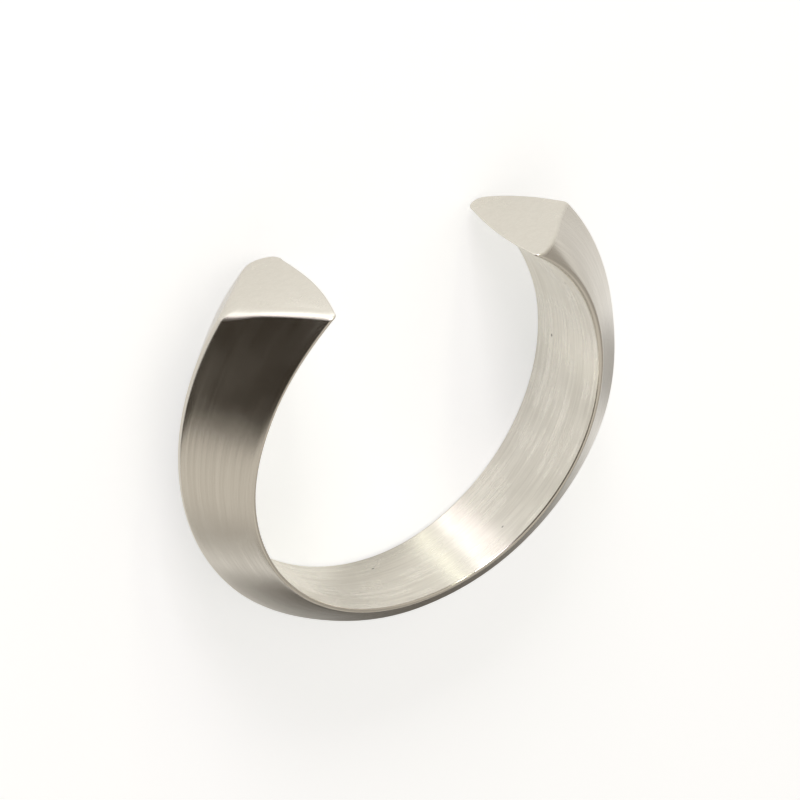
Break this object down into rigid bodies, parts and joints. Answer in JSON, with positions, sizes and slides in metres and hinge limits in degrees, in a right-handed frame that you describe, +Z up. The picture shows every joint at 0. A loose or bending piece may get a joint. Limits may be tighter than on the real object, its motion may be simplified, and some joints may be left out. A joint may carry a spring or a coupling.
{
  "type": "open finger ring",
  "caption": "Open finger ring in satin steel, triangular in section with an outer ridge, widening towards two flat cut ends.",
  "frame": {"origin": "centre of the finger hole, at the middle of the band's width", "axes": "+Z up with the ring lying on its side, +Y from the back of the ring towards the gap between its ends, +X towards the arm that ends lower; the hole's axis leans 2.4 degrees from +Z because the band is wider towards its ends"},
  "size_m": [0.0213, 0.0188, 0.006],
  "materials": {
    "satin_steel": "fine satin brushing along the band, softer on the two cut ends, with a warm tone"
  },
  "bodies": {
    "root": {"band": "satin_steel"}
  },
  "joints": []
}
